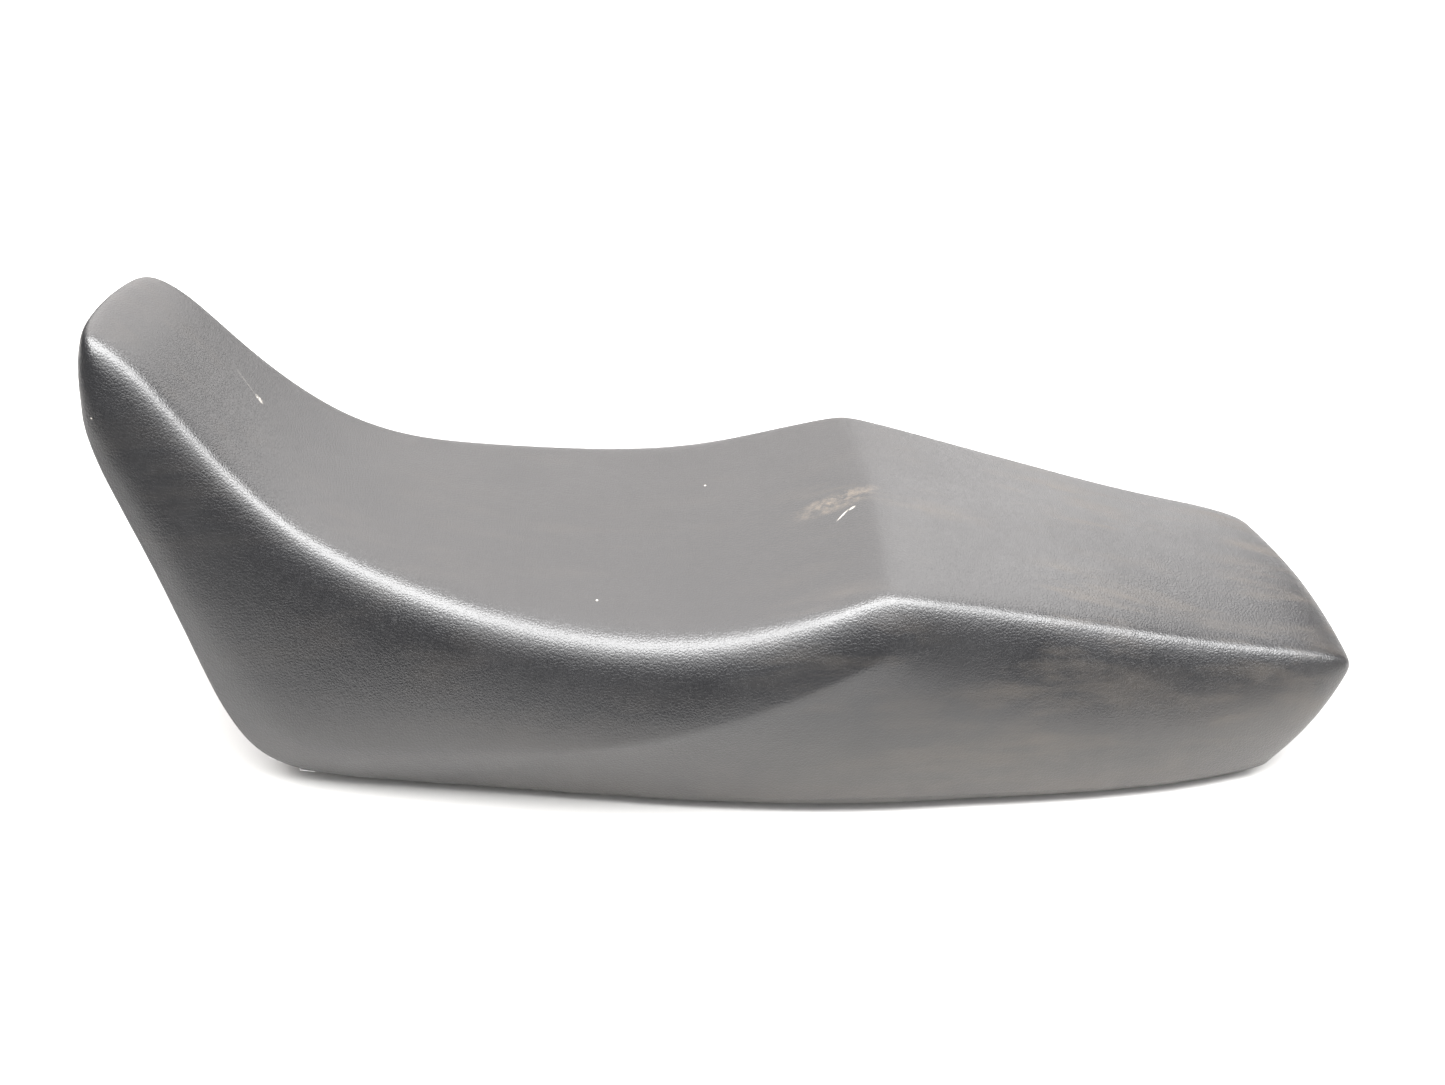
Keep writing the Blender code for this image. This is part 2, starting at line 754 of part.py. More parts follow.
def make_striker_loop(steel):
    """The bent rod that the seat lock grips, standing on the plate's lower face."""
    curve = bpy.data.curves.new("striker_loop", "CURVE")
    curve.dimensions = "3D"
    curve.bevel_depth = STRIKER_ROD_RADIUS
    curve.bevel_resolution = 2
    curve.use_fill_caps = True
    spline = curve.splines.new("POLY")
    turn = STRIKER_BEND_RADIUS
    top = plate_bottom() - FIT_GAP
    low = top - STRIKER_DROP
    half = STRIKER_SPAN / 2
    places = [(-half, top)]
    for step in range(STRIKER_BEND_STEPS + 1):
        angle = math.pi + step * math.pi / 2 / STRIKER_BEND_STEPS
        places.append((-half + turn + turn * math.cos(angle), low + turn + turn * math.sin(angle)))
    places += [(-y, z) for y, z in reversed(places)]
    spline.points.add(len(places) - 1)
    for point, (y, z) in zip(spline.points, places):
        point.co = (0.0, y, z, 1.0)
    drawn = add_object("striker_loop_line", curve, None, CUTTERS)
    drawn.location = (STRIKER_PLACE, 0.0, 0.0)
    mesh = evaluated_mesh(drawn)
    merged = bmesh.new()
    merged.from_mesh(mesh)
    bmesh.ops.remove_doubles(merged, verts=merged.verts, dist=0.00001)
    merged.to_mesh(mesh)
    merged.free()
    mesh.name = "striker_loop"
    loop = add_object("striker_loop", mesh, steel)
    loop.matrix_world = drawn.matrix_world
    bpy.data.objects.remove(drawn)
    return loop


def make_bumper(name, place, rubber):
    """A push-in foot: a round pad under the flange and a stem through it."""
    under = HEM_HEIGHT + COVER_THICKNESS + LAP_GAP - FIT_GAP
    tip = HEM_HEIGHT + flange_lift() - FIT_GAP
    profile = (
        (0.0, tip),
        (BUMPER_STEM_RADIUS, tip),
        (BUMPER_STEM_RADIUS, under),
        (BUMPER_RADIUS, under),
        (BUMPER_RADIUS, BUMPER_CHAMFER),
        (BUMPER_RADIUS - BUMPER_CHAMFER, 0.0),
        (0.0, 0.0),
    )
    return turned(name, profile, rubber, (place[0], place[1], 0.0), ROUND_STEPS)


def bumper_sites():
    sites = []
    for end, along in BUMPER_PLACES.items():
        inward = LAP_WIDTH + BUMPER_LAP_GAP + BUMPER_RADIUS
        across = hem_half_width(along) - inward
        for side, sign in (("left", -1), ("right", 1)):
            sites.append((f"bumper_{end}_{side}", (along, sign * across)))
    return sites


def make_tank_pad(side, sign, pan_line, rubber):
    """A soft strip that follows the pan's lower face under the nose."""
    chosen = [point for point in pan_line if PAD_BOTTOM <= point[1] <= PAD_TOP]
    drop = PAN_THICKNESS + PAD_GLUE_GAP
    half = SEAT_WIDTH / 2
    verts = []
    for number, (x, z) in enumerate(chosen):
        before = chosen[max(number - 1, 0)]
        after = chosen[min(number + 1, len(chosen) - 1)]
        run = Vector((after[0] - before[0], after[1] - before[1])).normalized()
        down = Vector((run.y, -run.x))
        for edge in (-1, 1):
            y = half * (sign * PAD_OFFSET_SHARE + edge * PAD_WIDTH_SHARE / 2)
            verts.append((x + down.x * drop, y, z + down.y * drop))
    faces = []
    for number in range(len(chosen) - 1):
        first = 2 * number
        faces.append((first, first + 2, first + 3, first + 1))
    mesh = bpy.data.meshes.new(f"tank_pad_{side}")
    mesh.from_pydata(verts, [], faces)
    pad = add_object(f"tank_pad_{side}", mesh, rubber)
    wall = pad.modifiers.new("pad", "SOLIDIFY")
    wall.thickness = PAD_THICKNESS
    wall.offset = -1.0
    wall.use_even_offset = True
    return pad


def middle_line(points):
    """The sheet's points on the seat's middle plane, from the nose to the tail."""
    line = [(float(x), float(z)) for x, y, z in points if abs(y) < 0.00001]
    return sorted(line)


def main():
    clear_scene()
    new_collection(PARTS)
    new_collection(CUTTERS)
    vinyl = new_material("cover_vinyl", (0.028, 0.028, 0.029), 0.42)
    foam_material = new_material("seat_foam", (0.62, 0.55, 0.36), 0.95)
    plastic = new_material("pan_plastic", (0.025, 0.025, 0.026), 0.55)
    steel = new_material("zinc_steel", (0.55, 0.54, 0.50), 0.38, 1.0)
    screw_steel = new_material("screw_steel", (0.42, 0.42, 0.42), 0.35, 1.0)
    brass = new_material("insert_brass", (0.70, 0.52, 0.22), 0.35, 1.0)
    rubber = new_material("bumper_rubber", (0.018, 0.018, 0.018), 0.80)

    columns = make_columns()
    make_cover(columns, vinyl)
    pan = make_pan_sheet(columns, plastic)
    make_foam(columns, pan, foam_material)
    pan_line = middle_line(sheet_arrays(pan)[0])
    split = pan.modifiers.new("fixed_diagonals", "TRIANGULATE")
    split.quad_method = "FIXED"
    wall = pan.modifiers.new("pan_wall", "SOLIDIFY")
    wall.thickness = PAN_THICKNESS
    wall.offset = -1.0
    wall.use_even_offset = True

    plates = {"front_tongue": make_tongue(steel), "striker_plate": make_striker_plate(steel)}
    add_boss(pan, "front_tongue", (TONGUE_PLACE, 0.0), TONGUE_BASE, TONGUE_WIDTH)
    add_boss(pan, "striker_plate", (STRIKER_PLACE, 0.0), STRIKER_LENGTH, STRIKER_WIDTH)
    for side, sign in (("left", -1), ("right", 1)):
        plates[f"side_hook_{side}"] = make_side_hook(side, sign, steel)
        add_boss(pan, f"side_hook_{side}", (HOOK_PLACE, sign * hook_offset()), HOOK_BASE, HOOK_WIDTH)
        make_tank_pad(side, sign, pan_line, rubber)
    make_striker_loop(steel)

    for site in screw_sites():
        name, place, plate, has_insert = site
        drill_screw(pan, plates[plate], site)
        make_screw(name, place, screw_steel)
        if has_insert:
            make_insert(name.replace("screw", "insert"), place, brass)
    for name, place in bumper_sites():
        make_bumper(name, place, rubber)
        radius = BUMPER_STEM_RADIUS + BUMPER_HOLE_GAP
        top = HEM_HEIGHT + flange_lift() + CUT_MARGIN
        cut_or_join(pan, round_cutter(name + "_hole", radius, place, HEM_HEIGHT, top), "DIFFERENCE")


main()
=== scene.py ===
# %% [markdown]
# # A one-piece dual motorcycle seat
#
# A black grained vinyl cover is pulled over moulded foam and stapled under the rim of a plastic pan.
# The CAD frame gives the pan, its steel parts and its rubber feet. This lesson makes what the eye
# sees first: the skin with its folds and grain, the foam under it, the row of staples, and the
# finish of every other piece. All sizes are in metres, with the nose at -X and the tail at +X.

import math
from collections import namedtuple

import bmesh
import bpy
import numpy as np
from mathutils import Matrix, Vector, kdtree, noise


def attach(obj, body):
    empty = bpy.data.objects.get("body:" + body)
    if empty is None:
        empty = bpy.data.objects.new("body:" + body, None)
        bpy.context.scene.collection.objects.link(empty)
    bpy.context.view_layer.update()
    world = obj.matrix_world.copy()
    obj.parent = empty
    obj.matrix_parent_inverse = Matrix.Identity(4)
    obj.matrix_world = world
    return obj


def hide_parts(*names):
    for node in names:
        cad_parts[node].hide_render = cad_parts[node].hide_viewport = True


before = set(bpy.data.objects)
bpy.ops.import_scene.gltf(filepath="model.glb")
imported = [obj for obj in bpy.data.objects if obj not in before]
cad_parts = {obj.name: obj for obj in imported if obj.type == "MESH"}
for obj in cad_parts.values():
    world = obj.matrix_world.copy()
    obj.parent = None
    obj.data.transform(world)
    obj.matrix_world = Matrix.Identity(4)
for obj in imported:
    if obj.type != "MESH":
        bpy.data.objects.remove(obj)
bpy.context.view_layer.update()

# %% [markdown]
# ## The skin's cage
#
# An upholsterer sees the seat as a row of cross sections. Each slice below runs from the shoulder,
# where the top turns over, down the wall to the hem. A few dozen points are enough, because
# subdivision turns them into a smooth surface, and a few edges are kept hard: the fold along the
# side, the ridge across the step and the hem itself.

# %% The slices and the main sizes
SEAT_LENGTH = 0.755
SEAT_WIDTH = 0.280
SEAT_HEIGHT = 0.285
HEM_HEIGHT = 0.009
MIDDLE_SHARE = 0.4985
COVER_THICKNESS = 0.0013
LAP_WIDTH = 0.016
NOSE_BOW = 0.005
TAIL_BOW = 0.009
STEP_BOW = 0.006
STEP_SLICES = range(10, 14)
STEP_RIDGE = 12
STEP_SHARPNESS = 0.30
RAILS = 2
ROWS = 4
# How the stretched skin differs from the plain form: tension makes the side bulge more and spreads
# the shoulder's round down the wall. The passenger's edge is crisper, and the nose's tip rounder.
LOWER_ROW_BULGE = 0.74
LESS_BELOW_FOLD = 0.26
TOP_ROUND = 0.75
WALL_ROUND = 1.35
PILLION_EDGE = 0.75
NOSE_EDGE = 1.45
NOSE_TIP_SLICES = 2
FLAT_NOSE_SLICES = 6
BULGE_UNDER_TENSION = 1.55
UPPER_WALL_ROUND = 0.5
ROUND_BEFORE_FOLD = 0.66
SKIN_LEVEL = 3

# Points are (along, across, up) as shares of the length, the half width and the height over the
# hem. fold is where on the wall the side breaks, bulge how far it stands out there, rounding the
# size of the shoulder's round, crown the rise of the middle, sharp the hardness of the fold.
Slice = namedtuple("Slice", "shoulder hem fold bulge rounding crown sharp")
SLICES = (
    Slice((0.015, 0.385, 1.011), (0.003, 0.398, 0.868), 0.50, 0.003, 0.024, 0.004, 0.0),
    Slice((0.044, 0.419, 0.957), (0.006, 0.446, 0.762), 0.58, 0.005, 0.022, 0.003, 0.0),
    Slice((0.072, 0.453, 0.841), (0.026, 0.498, 0.601), 0.62, 0.005, 0.022, 0.004, 0.0),
    Slice((0.106, 0.517, 0.716), (0.046, 0.559, 0.438), 0.64, 0.006, 0.024, 0.004, 0.0),
    Slice((0.150, 0.591, 0.600), (0.061, 0.606, 0.286), 0.66, 0.007, 0.027, 0.004, 0.0),
    Slice((0.202, 0.666, 0.527), (0.077, 0.646, 0.129), 0.68, 0.008, 0.030, 0.004, 0.0),
    Slice((0.254, 0.757, 0.487), (0.108, 0.678, 0.010), 0.70, 0.009, 0.033, 0.005, 0.0),
    Slice((0.314, 0.860, 0.450), (0.202, 0.735, 0.000), 0.66, 0.010, 0.036, 0.005, 0.3),
    Slice((0.387, 0.928, 0.421), (0.314, 0.814, 0.000), 0.60, 0.012, 0.038, 0.005, 0.9),
    Slice((0.466, 0.953, 0.423), (0.427, 0.900, 0.000), 0.45, 0.011, 0.038, 0.005, 0.9),
    Slice((0.540, 0.931, 0.471), (0.526, 0.943, 0.000), 0.32, 0.009, 0.028, 0.005, 0.8),
    Slice((0.582, 0.890, 0.502), (0.576, 0.950, 0.000), 0.25, 0.008, 0.019, 0.006, 0.6),
    Slice((0.598, 0.871, 0.510), (0.598, 0.950, 0.000), 0.22, 0.008, 0.017, 0.006, 0.3),
    Slice((0.616, 0.861, 0.502), (0.625, 0.946, 0.000), 0.30, 0.007, 0.017, 0.006, 0.0),
    Slice((0.678, 0.816, 0.461), (0.698, 0.928, 0.000), 0.42, 0.007, 0.018, 0.006, 0.0),
    Slice((0.771, 0.759, 0.393), (0.785, 0.907, 0.000), 0.46, 0.007, 0.017, 0.006, 0.0),
    Slice((0.870, 0.702, 0.320), (0.864, 0.850, 0.000), 0.50, 0.006, 0.016, 0.006, 0.0),
    Slice((0.952, 0.670, 0.280), (0.905, 0.794, 0.000), 0.52, 0.005, 0.015, 0.005, 0.0),
    Slice((0.996, 0.631, 0.240), (0.933, 0.761, 0.006), 0.50, 0.004, 0.013, 0.004, 0.0),
)
LAST = len(SLICES) - 1
COLUMNS = 2 * RAILS + LAST
print(len(SLICES), "slices,", COLUMNS + 1, "columns round the left half")


# %% Points of the top and columns of the wall
def share_point(shares):
    along, across, up = shares
    rise = SEAT_HEIGHT - HEM_HEIGHT
    x = (along - MIDDLE_SHARE) * SEAT_LENGTH
    return Vector((x, -across * SEAT_WIDTH / 2, HEM_HEIGHT + up * rise))


def cross_bow(index):
    if index == 0:
        return -NOSE_BOW
    if index in STEP_SLICES:
        return STEP_BOW
    if index >= LAST - 2:
        return TAIL_BOW * (index - LAST + 3) / 3
    return 0.0


def edge_round(piece):
    """The pillion's edge is crisper than the rider's, and the nose's tip is rounder."""
    if piece in SLICES[:NOSE_TIP_SLICES]:
        return piece.rounding * NOSE_EDGE
    behind_step = piece.shoulder[0] > SLICES[STEP_RIDGE].shoulder[0]
    return piece.rounding * (PILLION_EDGE if behind_step else 1.0)


def top_point(index, rail):
    """A point of the top: rail 0 is the middle line, the last rail is the shoulder."""
    piece = SLICES[index]
    corner = share_point(piece.shoulder)
    if rail == RAILS:
        return corner
    across = 0.0 if rail == 0 else 1.0 - TOP_ROUND * edge_round(piece) / -corner.y
    middle = 1.0 - across**2
    x = corner.x + cross_bow(index) * middle
    return Vector((x, corner.y * across, corner.z + piece.crown * middle))


Column = namedtuple("Column", "shoulder hem outward slice")


def end_column(index, rail, bow, outward):
    piece = SLICES[index]
    corner = share_point(piece.hem)
    shoulder = top_point(index, rail)
    across = shoulder.y / share_point(piece.shoulder).y
    hem = Vector((corner.x + bow * (1.0 - across**2), corner.y * across, corner.z))
    return Column(shoulder, hem, outward, piece)


def make_columns():
    forward = Vector((-1.0, 0.0, 0.0))
    left = Vector((0.0, -1.0, 0.0))
    columns = [end_column(0, rail, -NOSE_BOW, forward) for rail in range(RAILS)]
    for index, piece in enumerate(SLICES):
        outward = left
        if index == 0:
            outward = (left + forward).normalized()
        if index == LAST:
            outward = (left - forward).normalized()
        columns.append(Column(share_point(piece.shoulder), share_point(piece.hem), outward, piece))
    columns += [end_column(LAST, rail, TAIL_BOW, -forward) for rail in reversed(range(RAILS))]
    return columns


def wall_point(column, row):
    """One of the rows from the shoulder (0) down to the hem (ROWS)."""
    piece = column.slice
    length = (column.hem - column.shoulder).length
    first = min(WALL_ROUND * edge_round(piece) / length, ROUND_BEFORE_FOLD * piece.fold)
    shares = (0.0, first, piece.fold, (piece.fold + 1.0) / 2, 1.0)
    lower = LOWER_ROW_BULGE - LESS_BELOW_FOLD * piece.sharp
    bulges = (0.0, (first / piece.fold) ** UPPER_WALL_ROUND, 1.0, lower, 0.0)
    place = column.shoulder.lerp(column.hem, shares[row])
    tension = 1.0 if piece in SLICES[:FLAT_NOSE_SLICES] else BULGE_UNDER_TENSION
    return place + column.outward * piece.bulge * tension * bulges[row]


def lap_point(column, number):
    """Where the cover's edge ends after it is folded under the rim."""
    line = [share_point(s.hem) for s in SLICES]
    side = Vector((0.0, LAP_WIDTH, 0.0))
    if RAILS < number < RAILS + LAST:
        return column.hem + side
    at_nose = number <= RAILS
    ahead = (line[1] - line[0]) if at_nose else (line[LAST - 1] - line[LAST])
    ahead.y = 0.0
    ahead.normalize()
    if number in (RAILS, RAILS + LAST):
        return column.hem + ahead * LAP_WIDTH + side
    corner_y = line[0].y if at_nose else line[LAST].y
    point = column.hem + ahead * LAP_WIDTH
    point.y *= (corner_y + LAP_WIDTH) / corner_y
    return point


columns = make_columns()
print("wall heights", [round((c.shoulder - c.hem).length, 3) for c in columns[RAILS::4]])

# %% [markdown]
# ## From the cage to the skin
#
# Half of the cage is built face by face, mirrored, and subdivided three times. The attribute "lap"
# is 1 on the edge that is tucked under and 0 on the rest, so the pleats can be put only there.


# %% Build the half cage
def top_key(index, rail):
    if rail == RAILS:
        return (RAILS + index, 0)
    if index == 0:
        return (rail, 0)
    if index == LAST:
        return (COLUMNS - rail, 0)
    return ("top", index, rail)


def skin_cage(name):
    points = {}
    for number, column in enumerate(columns):
        for row in range(ROWS + 1):
            points[(number, row)] = wall_point(column, row)
        points[(number, ROWS + 1)] = lap_point(column, number)
    for index in range(1, LAST):
        for rail in range(RAILS):
            points[top_key(index, rail)] = top_point(index, rail)
    cage = bmesh.new()
    lap = cage.verts.layers.float.new("lap")
    hardness = cage.edges.layers.float.new("crease_edge")
    made = {key: cage.verts.new(place) for key, place in points.items()}
    for number in range(COLUMNS + 1):
        made[(number, ROWS + 1)][lap] = 1.0
    for number in range(COLUMNS):
        for row in range(ROWS + 1):
            ring = ((number, row), (number, row + 1), (number + 1, row + 1), (number + 1, row))
            cage.faces.new([made[key] for key in ring])
    for index in range(LAST):
        for rail in range(RAILS):
            ring = ((index, rail), (index, rail + 1), (index + 1, rail + 1), (index + 1, rail))
            cage.faces.new([made[top_key(*corner)] for corner in ring])
    for number in range(COLUMNS):
        cage.edges.get((made[(number, ROWS)], made[(number + 1, ROWS)]))[hardness] = 1.0
    for index, piece in enumerate(SLICES[:-1]):
        ends = (made[(RAILS + index, 2)], made[(RAILS + index + 1, 2)])
        cage.edges.get(ends)[hardness] = piece.sharp
    for rail in range(RAILS):
        ends = (made[top_key(STEP_RIDGE, rail)], made[top_key(STEP_RIDGE, rail + 1)])
        cage.edges.get(ends)[hardness] = STEP_SHARPNESS
    mesh = bpy.data.meshes.new(name)
    cage.to_mesh(mesh)
    cage.free()
    return mesh


def evaluated(obj):
    """The object's mesh with its modifiers applied, as a new mesh."""
    bpy.context.view_layer.update()
    return bpy.data.meshes.new_from_object(obj.evaluated_get(bpy.context.evaluated_depsgraph_get()))


def new_object(name, mesh):
    obj = bpy.data.objects.new(name, mesh)
    bpy.context.scene.collection.objects.link(obj)
    return obj


guide = new_object("skin_guide", skin_cage("skin_guide"))
mirror = guide.modifiers.new("right_half", "MIRROR")
mirror.use_axis = (False, True, False)
mirror.use_clip = True
mirror.merge_threshold = 0.00001
smooth = guide.modifiers.new("smooth_form", "SUBSURF")
smooth.levels = SKIN_LEVEL
smooth.render_levels = SKIN_LEVEL
skin = evaluated(guide)
bpy.data.objects.remove(guide)
print("skin:", len(skin.vertices), "points,", len(skin.polygons), "faces")

# %% [markdown]
# ## Tension and pleats
#
# Real vinyl never lies as evenly as a drawn surface. The foam lets it sink and rise by a few tenths
# of a millimetre, it pulls in a little above the hem where the staples hold it, and the spare
# material at the turned edge gathers into pleats. The pleats only go down, away from the pan.

# %% Displace the skin
FOAM_WAVE = 0.00035
HEM_PULL = 0.0005
HEM_PULL_HEIGHT = 0.020
PLEAT_DEPTH = 0.0012
PLEAT_PITCH = 0.016
PLEAT_SHARE = 0.15
FOAM_WAVES_PER_METRE = 13.0
PULLS_PER_METRE = 38.0
CALM_EDGE = 0.030
HEM_EDGE = 0.004
RIM_LAP = 0.16
FULL_LAP = 1.6


def array_of(items, name, width=3):
    values = np.zeros(len(items) * width, np.float32)
    items.foreach_get(name, values)
    return values.reshape(-1, width).astype(float)


points = array_of(skin.vertices, "co")
normals = array_of(skin.vertices, "normal")
lap = array_of(skin.attributes["lap"].data, "value", 1)[:, 0]
rim = np.flatnonzero((lap > 0.0) & (lap < RIM_LAP))
tree = kdtree.KDTree(len(rim))
for order, number in enumerate(rim):
    tree.insert(Vector(points[number]), order)
tree.balance()
moved = points.copy()
for number, place in enumerate(points):
    at = Vector(place)
    nearest, _, distance = tree.find(at)
    wave = noise.noise(at * FOAM_WAVES_PER_METRE) * FOAM_WAVE
    if lap[number] > 0.01:
        fold = noise.noise(Vector(nearest) / PLEAT_PITCH)
        share = min(1.0, lap[number] * FULL_LAP)
        moved[number][2] -= PLEAT_DEPTH * share * max(0.0, fold + PLEAT_SHARE)
        continue
    pull = noise.noise(Vector(nearest) * PULLS_PER_METRE) * HEM_PULL
    near_hem = math.exp(-((distance / HEM_PULL_HEIGHT) ** 2)) * min(1.0, distance / HEM_EDGE)
    moved[number] += normals[number] * (wave * min(1.0, distance / CALM_EDGE) + pull * near_hem)
skin.vertices.foreach_set("co", moved.astype(np.float32).ravel())
skin.update()
skin_area = sum(face.area for face in skin.polygons)
largest = float(np.abs(moved - points).max())
print("largest move", round(largest * 1000, 2), "mm; area", round(skin_area, 4))

# %% [markdown]
# ## A sheet with thickness
#
# Seat vinyl is about 1.3 mm thick with its knitted backing. Solidify grows that inward, so the
# outer face stays where it is, and the cut edge of the lap shows from below.

# %% Give the cover its thickness
cover = new_object("seat_cover_skin", skin)
skin.name = "seat_cover_skin"
wall = cover.modifiers.new("thickness", "SOLIDIFY")
wall.thickness = COVER_THICKNESS
wall.offset = -1.0
wall.use_even_offset = False
thick = evaluated(cover)
cover.modifiers.clear()
cover.data = thick
thick.shade_smooth()
print("cover:", len(thick.polygons), "faces")

# %% [markdown]
# ## The foam
#
# Moulded polyurethane foam has rounded edges and a slightly uneven face. The CAD solid is remeshed
# into small even faces, drawn in a little so the cover clears it, and given the soft unevenness
# that a mould leaves.

# %% Make the foam cushion
FOAM_VOXEL = 0.005
FOAM_INSET = 0.0026
FOAM_PORES = 0.0004
FOAM_RIPPLES_PER_METRE = 90.0
RELAX_SHARE = 0.5
RELAX_PASSES = 4

foam = new_object("foam_body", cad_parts["foam_cushion"].data.copy())
remesh = foam.modifiers.new("even_faces", "REMESH")
remesh.mode = "VOXEL"
remesh.voxel_size = FOAM_VOXEL
relax = foam.modifiers.new("round_edges", "SMOOTH")
relax.factor = RELAX_SHARE
relax.iterations = RELAX_PASSES
foam_mesh = evaluated(foam)
foam.modifiers.clear()
foam.data = foam_mesh
foam_points = array_of(foam_mesh.vertices, "co")
foam_normals = array_of(foam_mesh.vertices, "normal")
for number, place in enumerate(foam_points):
    uneven = noise.noise(Vector(place) * FOAM_RIPPLES_PER_METRE) * FOAM_PORES
    foam_points[number] = place - foam_normals[number] * (FOAM_INSET + uneven)
foam_mesh.vertices.foreach_set("co", foam_points.astype(np.float32).ravel())
foam_mesh.update()
foam_mesh.shade_smooth()
print("foam:", len(foam_mesh.polygons), "faces")

# %% [markdown]
# ## Staples by Geometry Nodes
#
# A pneumatic stapler puts a staple every two centimetres or so through the lap into the pan. One
# node tree does the whole row: it samples points along the lap's middle line, turns each staple
# across the edge with a small random error, and drops the instances as real geometry.

# %% A staple and the line it follows
STAPLE_CROWN = 0.0095
STAPLE_WIRE = 0.0011
STAPLE_RISE = 0.0006
STAPLE_PITCH = 0.021
STAPLE_PROUD = 0.0005
STAPLE_TURN = 0.22
STAPLE_SEED = 7
STAPLE_LEG = 0.0016
STAPLE_LEG_RISE = 0.0011
STAPLE_EDGE = 0.00012
ROW_ON_LAP = 0.55


def staple_mesh():
    """A flat crown with its two shoulders bent up into the vinyl."""
    shape = bmesh.new()
    bmesh.ops.create_cube(shape, size=1.0)
    size = Vector((STAPLE_CROWN, STAPLE_WIRE, STAPLE_RISE))
    bmesh.ops.scale(shape, vec=size, verts=shape.verts)
    for side in (-1.0, 1.0):
        leg = bmesh.ops.create_cube(shape, size=1.0)["verts"]
        bmesh.ops.scale(shape, vec=Vector((STAPLE_RISE, STAPLE_WIRE, STAPLE_LEG)), verts=leg)
        end = Vector((side * (STAPLE_CROWN - STAPLE_RISE) / 2, 0, STAPLE_LEG_RISE))
        bmesh.ops.translate(shape, vec=end, verts=leg)
    bmesh.ops.bevel(shape, geom=shape.edges[:], offset=STAPLE_EDGE, segments=1, affect="EDGES")
    mesh = bpy.data.meshes.new("staple")
    shape.to_mesh(mesh)
    shape.free()
    return mesh


def lap_line():
    """Points round the whole rim, on the lower face of the lap's middle."""
    half = []
    proud = Vector((0.0, 0.0, STAPLE_PROUD))
    for number, column in enumerate(columns):
        half.append(column.hem.lerp(lap_point(column, number), ROW_ON_LAP) - proud)
    other = [Vector((p.x, -p.y, p.z)) for p in reversed(half[1:-1])]
    return half + other


line_curve = bpy.data.curves.new("staple_line", "CURVE")
line_curve.dimensions = "3D"
spline = line_curve.splines.new("BEZIER")
rim_points = lap_line()
spline.bezier_points.add(len(rim_points) - 1)
for knot, place in zip(spline.bezier_points, rim_points):
    knot.co = place
    knot.handle_left_type = "AUTO"
    knot.handle_right_type = "AUTO"
spline.use_cyclic_u = True
spline.resolution_u = 12
print("staple line:", len(rim_points), "knots")


# %% The node tree that sets the row
def staple_tree(staple, material):
    tree = bpy.data.node_groups.new("staple_row", "GeometryNodeTree")
    face = tree.interface
    face.new_socket("Geometry", in_out="INPUT", socket_type="NodeSocketGeometry")
    for name, kind in (("Pitch", "Float"), ("Turn", "Float"), ("Seed", "Int")):
        face.new_socket(name, in_out="INPUT", socket_type="NodeSocket" + kind)
    face.new_socket("Geometry", in_out="OUTPUT", socket_type="NodeSocketGeometry")
    nodes = tree.nodes
    link = tree.links.new
    start = nodes.new("NodeGroupInput")
    end = nodes.new("NodeGroupOutput")
    sample = nodes.new("GeometryNodeCurveToPoints")
    sample.mode = "LENGTH"
    link(start.outputs["Geometry"], sample.inputs["Curve"])
    link(start.outputs["Pitch"], sample.inputs["Length"])
    error = nodes.new("FunctionNodeRandomValue")
    error.data_type = "FLOAT"
    least = nodes.new("ShaderNodeMath")
    least.operation = "MULTIPLY"
    least.inputs[1].default_value = -1.0
    link(start.outputs["Turn"], least.inputs[0])
    link(least.outputs[0], error.inputs[2])
    link(start.outputs["Turn"], error.inputs[3])
    link(start.outputs["Seed"], error.inputs["Seed"])
    level = nodes.new("FunctionNodeAlignRotationToVector")
    level.axis = "X"
    link(sample.outputs["Tangent"], level.inputs["Vector"])
    spin = nodes.new("FunctionNodeRotateRotation")
    spin.rotation_space = "LOCAL"
    around = nodes.new("FunctionNodeAxisAngleToRotation")
    link(error.outputs[1], around.inputs["Angle"])
    link(level.outputs[0], spin.inputs["Rotation"])
    link(around.outputs[0], spin.inputs["Rotate By"])
    piece = nodes.new("GeometryNodeObjectInfo")
    piece.inputs["Object"].default_value = staple
    place = nodes.new("GeometryNodeInstanceOnPoints")
    link(sample.outputs["Points"], place.inputs["Points"])
    link(piece.outputs["Geometry"], place.inputs["Instance"])
    link(spin.outputs[0], place.inputs["Rotation"])
    real = nodes.new("GeometryNodeRealizeInstances")
    finish = nodes.new("GeometryNodeSetMaterial")
    finish.inputs["Material"].default_value = material
    link(place.outputs["Instances"], real.inputs["Geometry"])
    link(real.outputs["Geometry"], finish.inputs["Geometry"])
    link(finish.outputs["Geometry"], end.inputs["Geometry"])
    return tree


# %% [markdown]
# ## Materials
#
# Every finish is built from noise and cell patterns in the object's own coordinates, so it stays
# with the piece when it moves. The helper functions keep each material to a short recipe.


